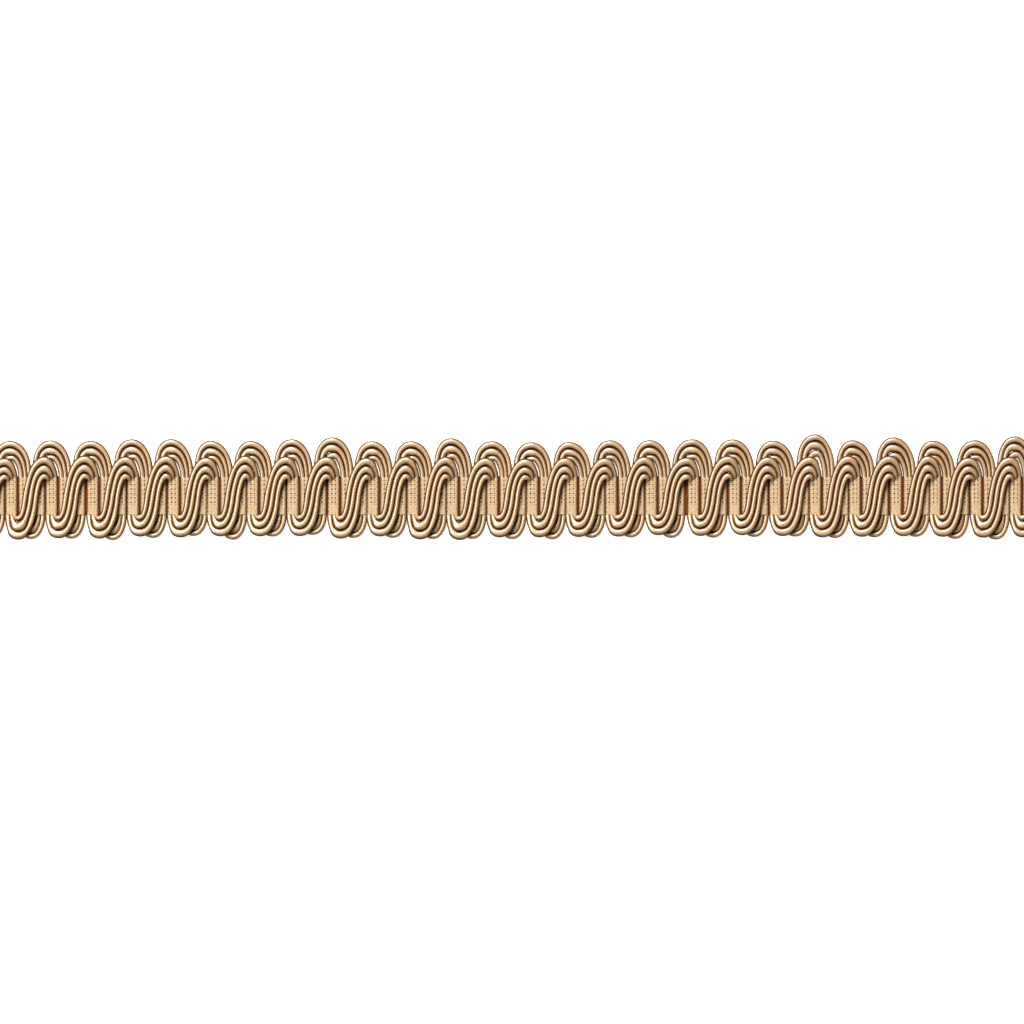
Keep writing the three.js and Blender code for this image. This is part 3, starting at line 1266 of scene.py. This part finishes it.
@dataclass(frozen=True)
class BackBand(Band):
    """The three cords that turn below the ground and arch high above it, behind the front band."""

    side: str = "back"
    cords: tuple[BackCord, ...] = BACK_CORDS
    widest: float = 1.0
    seed: int = 3
    loop_level: float = 0.475
    loop_height: float = 0.92

    def stops(self, cord: BackCord) -> list[Stop]:
        """The places that one cord goes through, from its first column down to its last up.

        Args:
            cord: the cord's own sizes.

        Returns:
            The stops in order.
        """
        pattern = self.pattern
        top, bottom = pattern.back_column_top_y, pattern.column_bottom_y
        column = (self.column_level, self.column_height)
        loop = (self.loop_level, self.loop_height)
        down, up, right = Heading.DOWN.value, Heading.UP.value, Heading.RIGHT.value
        stops = []
        for index, row in enumerate(pattern.repeats[:-1]):
            x = pattern.apex_x(index)
            if index > 0:
                arch_x = x + cord.arch_x + row.back.lean
                arch_y = cord.arch_y + row.back.rise * cord.rise_share
                stops.append(Stop(arch_x, arch_y, right, *loop, cord.fall_full, Ease.IN))
            down_x, up_x = x + cord.down_x, x + cord.up_x
            stops.append(Stop(down_x, top, down, *column))
            stops.append(Stop(down_x, bottom, down, *column, cord.turn_full, Ease.OUT))
            turn_x, turn_y = x + cord.turn_x, cord.turn_y - row.back.drop * cord.drop_share
            stops.append(Stop(turn_x, turn_y, right, *loop, cord.climb_full, Ease.IN))
            stops.append(Stop(up_x, bottom, up, *column))
            stops.append(Stop(up_x, top, up, *column, cord.rise_full, Ease.OUT))
        return stops


class Layer(Enum):
    """Which side of a column a warp thread passes on."""

    OVER = 1
    UNDER = -1


@dataclass(frozen=True)
class WarpGround:
    """The woven ground: rows of fine threads that pass over and under the columns by turns."""

    pattern: Pattern
    row_edges: tuple[float, ...] = (
        -2.82,
        -2.343,
        -1.689,
        -1.035,
        -0.381,
        0.273,
        0.927,
        1.581,
        2.235,
        2.68,
    )
    rows_without_holes: int = 2
    middle_level: float = 0.48
    crown_rise: float = 0.415
    dip_rise: float = 0.33
    shoulder_rise: float = 0.35
    flank_rise: float = 0.06
    shoulder_reach: float = 0.05
    flank_reach: float = 0.2
    slant: float = 0.14
    slant_in: float = 0.07
    slant_out: float = 0.042
    gather: float = 0.8
    thread_height: float = 0.14
    spread_share: float = 1.95
    flank_share: float = 0.85
    pinched_width: float = 0.2
    valley_width: float = 0.42
    pinch: float = 0.11
    pinch_range: tuple[float, float] = (0.85, 1.25)
    end_reach: float = 0.7
    sides: int = 6
    seed: int = 11

    def columns(self) -> list[list[float]]:
        """Finds where the three cords of each column lie along the braid, from left to right.

        Returns:
            Three places for each column.
        """
        columns = []
        for index in range(len(self.pattern.repeats)):
            x = self.pattern.apex_x(index)
            columns.append(sorted(x + cord.column_x for cord in FRONT_CORDS))
            if index < len(self.pattern.repeats) - 1:
                columns.append(sorted(x + cord.down_x for cord in BACK_CORDS))
                columns.append(sorted(x + cord.up_x for cord in BACK_CORDS))
        return columns

    def thread(self, row: int, parity: int, strand: int, rng: np.random.Generator) -> np.ndarray:
        """The way of one warp thread.

        Args:
            row: the thread's row, from below.
            parity: 0 or 1, which columns it covers.
            strand: -1 or 1, which half of the row it fills.
            rng: the source of small differences.

        Returns:
            Rows of x, y, level and width.
        """
        low, high = self.row_edges[row], self.row_edges[row + 1]
        middle, half = (low + high) / 2, (high - low) / 2
        centre = middle + strand * half / 2
        inner = middle + strand * half / 2 * self.gather
        wide = half * self.spread_share
        narrower = wide * self.flank_share
        columns = self.columns()
        places = [
            (columns[0][0] - self.end_reach, centre, self.middle_level, self.pinched_width)
        ]
        for index, ribs in enumerate(columns):
            layer = Layer.OVER if (index + parity) % 2 == 0 else Layer.UNDER
            side = layer.value
            crown, dip, shoulder, flank = (
                self.middle_level + side * rise
                for rise in (self.crown_rise, self.dip_rise, self.shoulder_rise, self.flank_rise)
            )
            closed = row < self.rows_without_holes or layer is Layer.UNDER
            left, right = ribs[0], ribs[-1]
            places += [
                (left - self.flank_reach, inner + self.slant_in, flank, narrower),
                (left - self.shoulder_reach, centre, shoulder, wide),
                (left, centre, crown, wide),
            ]
            for before, rib in zip(ribs, ribs[1:]):
                pinch = half / 2 if closed else self.pinch * rng.uniform(*self.pinch_range)
                width = wide if closed else self.pinched_width
                places.append(((before + rib) / 2, middle + strand * pinch, dip, width))
                places.append((rib, centre, crown, wide))
            places += [
                (right + self.shoulder_reach, centre, shoulder, wide),
                (right + self.flank_reach, inner - self.slant_out, flank, narrower),
            ]
            if index < len(columns) - 1:
                valley = (right + columns[index + 1][0]) / 2
                places.append(
                    (valley, inner - side * self.slant, self.middle_level, self.valley_width)
                )
        places.append(
            (columns[-1][-1] + self.end_reach, centre, self.middle_level, self.pinched_width)
        )
        return np.array(places)

    def build(self, *finishes: bpy.types.Material) -> list[bpy.types.Object]:
        """Builds and dresses the threads, a piece for each half of them.

        Args:
            finishes: the finish of the threads and that of their cut ends.

        Returns:
            The two pieces.
        """
        rng = np.random.default_rng(self.seed)
        pieces = []
        for parity in (0, 1):
            bundle = TubeBundle(self.sides)
            for row in range(len(self.row_edges) - 1):
                for strand in (-1, 1):
                    places = self.thread(row, parity, strand, rng)
                    heights = np.full(len(places), self.thread_height)
                    bundle.add(places[:, :3], places[:, 3], heights)
            piece = bundle.build(f"warp_threads_{parity + 1}", *finishes)
            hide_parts("ground")
            pieces.append(piece)
        return pieces


@dataclass(frozen=True)
class Studio:
    """A camera right above the braid, a white board under it, and soft light from three sides."""

    lens: float = 200.0
    sensor: float = 36.0
    farthest: float = 20.0
    board_size: float = 3.0
    key_from: tuple[float, float, float] = (-0.2, 0.95, 0.8)
    key_power: float = 23.0
    side_from: tuple[float, float, float] = (-0.62, 0.15, 1.05)
    side_power: float = 7.5
    fill_from: tuple[float, float, float] = (0.5, -0.85, 0.75)
    fill_power: float = 1.2
    light_size: float = 0.45
    light_colour: str = "#FFF7E9"
    sky: float = 0.05
    sky_colour: str = "#FFC288"
    wall_colour: str = "#FFFFFF"

    def camera(self) -> None:
        """Makes the camera, looking straight down."""
        data = bpy.data.cameras.new("camera")
        data.lens = self.lens
        data.sensor_width = self.sensor
        data.clip_end = self.farthest
        camera = bpy.data.objects.new("camera", data)
        distance = FRAME_WIDTH * METRES * self.lens / self.sensor
        camera.location = (0.0, FRAME_CENTRE_Y * METRES, distance)
        bpy.context.scene.collection.objects.link(camera)
        bpy.context.scene.camera = camera

    def softbox(self, name: str, place: tuple[float, float, float], power: float) -> None:
        """Makes a square soft light that faces the braid.

        Args:
            name: the light's name.
            place: where it stands, in metres.
            power: its power in watts.
        """
        data = bpy.data.lights.new(name, "AREA")
        data.shape = "SQUARE"
        data.size = self.light_size
        data.energy = power
        data.color = linear(self.light_colour)[:3]
        light = bpy.data.objects.new(name, data)
        light.location = place
        light.rotation_euler = Vector(place).to_track_quat("Z", "Y").to_euler()
        bpy.context.scene.collection.objects.link(light)

    def lights(self) -> None:
        """Makes the three soft lights and the even light of the room."""
        self.softbox("key", self.key_from, self.key_power)
        self.softbox("side", self.side_from, self.side_power)
        self.softbox("fill", self.fill_from, self.fill_power)
        world = bpy.data.worlds.new("white_room")
        world.use_nodes = True
        tree = world.node_tree
        tree.nodes.clear()
        glow = add_node(
            tree,
            "ShaderNodeBackground",
            {"Color": linear(self.sky_colour), "Strength": self.sky},
        )
        wall = add_node(tree, "ShaderNodeBackground", {"Color": linear(self.wall_colour)})
        # The eye sees a white wall, which adds no light of its own.
        ray = add_node(tree, "ShaderNodeLightPath")
        room = add_node(
            tree,
            "ShaderNodeMixShader",
            links={0: ray.outputs["Is Camera Ray"], 1: glow.outputs[0], 2: wall.outputs[0]},
        )
        add_node(tree, "ShaderNodeOutputWorld", links={"Surface": room.outputs[0]})
        bpy.context.scene.world = world
        bpy.context.scene.view_settings.view_transform = "Standard"

    def board(self) -> None:
        """Makes the white board that the braid lies on."""
        half = self.board_size / 2
        mesh = bpy.data.meshes.new("board")
        corners = [(-half, -half, 0), (half, -half, 0), (half, half, 0), (-half, half, 0)]
        mesh.from_pydata(corners, [], [(0, 1, 2, 3)])
        mesh.materials.append(StudioBoard().build())
        board = bpy.data.objects.new("board", mesh)
        bpy.context.scene.collection.objects.link(board)


def main() -> None:
    """Builds the studio and the braid, and reports each piece."""
    logging.basicConfig(level=logging.INFO, format="%(name)s: %(message)s")
    studio = Studio()
    studio.camera()
    studio.lights()
    studio.board()

    pattern = Pattern()
    maker = CordMaker()
    wrap, core = SatinWrap().build(), CottonCore().build()
    thread = SpunThread().build()
    pieces = [
        *BackBand(pattern, maker).build(wrap, core),
        *FrontBand(pattern, maker).build(wrap, core),
        *WarpGround(pattern).build(thread, core),
    ]
    for piece in pieces:
        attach(piece, "root")
        triangles = sum(len(face.vertices) - 2 for face in piece.data.polygons)
        LOG.info("%s: %d triangles", piece.name, triangles)


if __name__ == "__main__":
    main()
